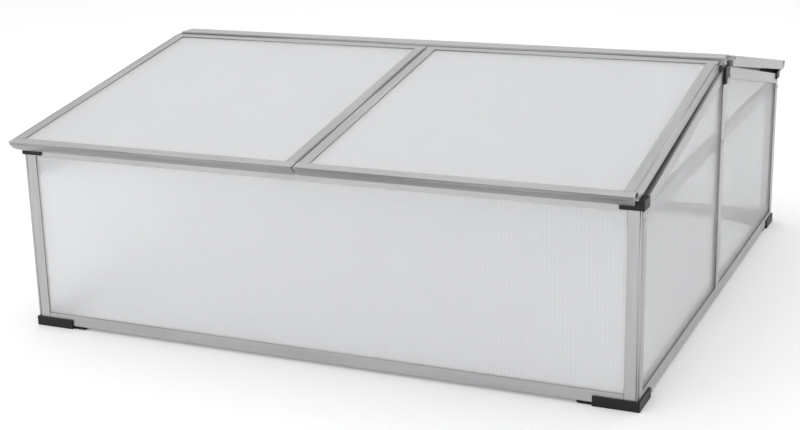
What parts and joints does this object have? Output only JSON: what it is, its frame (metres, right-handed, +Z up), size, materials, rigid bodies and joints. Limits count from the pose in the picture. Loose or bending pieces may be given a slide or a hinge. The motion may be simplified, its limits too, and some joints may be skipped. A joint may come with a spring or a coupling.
{
  "type": "cold frame",
  "caption": "Low square growing box with translucent twin-wall sheets in aluminium profiles, black plastic corners, a ridge beam along the middle and lids hinged on both sides of it.",
  "frame": {"origin": "on the ground, in the middle of the base", "axes": "+X to the right along the ridge, +Y to the rear, +Z up; the front wall faces -Y"},
  "size_m": [1.0144, 1.066, 0.409],
  "materials": {
    "aluminium": "mill-finish extruded aluminium, fine lines along each profile",
    "black_plastic": "black moulded plastic, lightly grained",
    "wall_sheet": "translucent twin-wall polycarbonate with upright flutes",
    "lid_sheet": "milky twin-wall polycarbonate with flutes down the slope",
    "steel_screws": "zinc-plated steel"
  },
  "bodies": {
    "frame": {"corner_foot_front_left": "black_plastic", "corner_foot_front_right": "black_plastic", "corner_foot_rear_left": "black_plastic", "corner_foot_rear_right": "black_plastic", "bottom_rail_front": "aluminium", "bottom_rail_rear": "aluminium", "bottom_rail_left": "aluminium", "bottom_rail_right": "aluminium", "corner_post_front_left": "aluminium", "corner_post_front_right": "aluminium", "corner_post_rear_left": "aluminium", "corner_post_rear_right": "aluminium", "top_rail_front": "aluminium", "top_rail_rear": "aluminium", "gable_rail_front_left": "aluminium", "gable_rail_front_right": "aluminium", "gable_rail_rear_left": "aluminium", "gable_rail_rear_right": "aluminium", "middle_post_left": "aluminium", "middle_post_right": "aluminium", "side_bar_left": "aluminium", "side_bar_right": "aluminium", "ridge_beam": "aluminium", "ridge_clip_left": "black_plastic", "ridge_clip_right": "black_plastic", "corner_cap_front_left": "black_plastic", "corner_cap_front_right": "black_plastic", "corner_cap_rear_left": "black_plastic", "corner_cap_rear_right": "black_plastic", "wall_sheet_front": "wall_sheet", "wall_sheet_rear": "wall_sheet", "side_sheet_front_left": "wall_sheet", "side_sheet_front_right": "wall_sheet", "side_sheet_rear_left": "wall_sheet", "side_sheet_rear_right": "wall_sheet", "frame_screws": "steel_screws"},
    "lid_front_left": {"lid_front_left_sheet": "lid_sheet", "lid_front_left_hinge_rail": "aluminium", "lid_front_left_nose_rail": "aluminium", "lid_front_left_outer_stile": "aluminium", "lid_front_left_inner_stile": "aluminium", "lid_front_left_screws": "steel_screws"},
    "lid_front_right": {"lid_front_right_sheet": "lid_sheet", "lid_front_right_hinge_rail": "aluminium", "lid_front_right_nose_rail": "aluminium", "lid_front_right_outer_stile": "aluminium", "lid_front_right_inner_stile": "aluminium", "lid_front_right_screws": "steel_screws"},
    "lid_rear_left": {"lid_rear_left_sheet": "lid_sheet", "lid_rear_left_hinge_rail": "aluminium", "lid_rear_left_nose_rail": "aluminium", "lid_rear_left_outer_stile": "aluminium", "lid_rear_left_inner_stile": "aluminium", "lid_rear_left_screws": "steel_screws"},
    "lid_rear_right": {"lid_rear_right_sheet": "lid_sheet", "lid_rear_right_hinge_rail": "aluminium", "lid_rear_right_nose_rail": "aluminium", "lid_rear_right_outer_stile": "aluminium", "lid_rear_right_inner_stile": "aluminium", "lid_rear_right_screws": "steel_screws"}
  },
  "joints": [
    {"name": "lid_front_left_hinge", "type": "hinge", "parent": "frame", "child": "lid_front_left", "pos_m": [-0.254, -0.022, 0.403], "axis": [-1, 0, 0], "range_deg": [0, 80]},
    {"name": "lid_front_right_hinge", "type": "hinge", "parent": "frame", "child": "lid_front_right", "pos_m": [0.246, -0.022, 0.403], "axis": [-1, 0, 0], "range_deg": [0, 80]},
    {"name": "lid_rear_left_hinge", "type": "hinge", "parent": "frame", "child": "lid_rear_left", "pos_m": [-0.242, 0.022, 0.403], "axis": [1, 0, 0], "range_deg": [0, 80]},
    {"name": "lid_rear_right_hinge", "type": "hinge", "parent": "frame", "child": "lid_rear_right", "pos_m": [0.258, 0.022, 0.403], "axis": [1, 0, 0], "range_deg": [0, 80]}
  ]
}
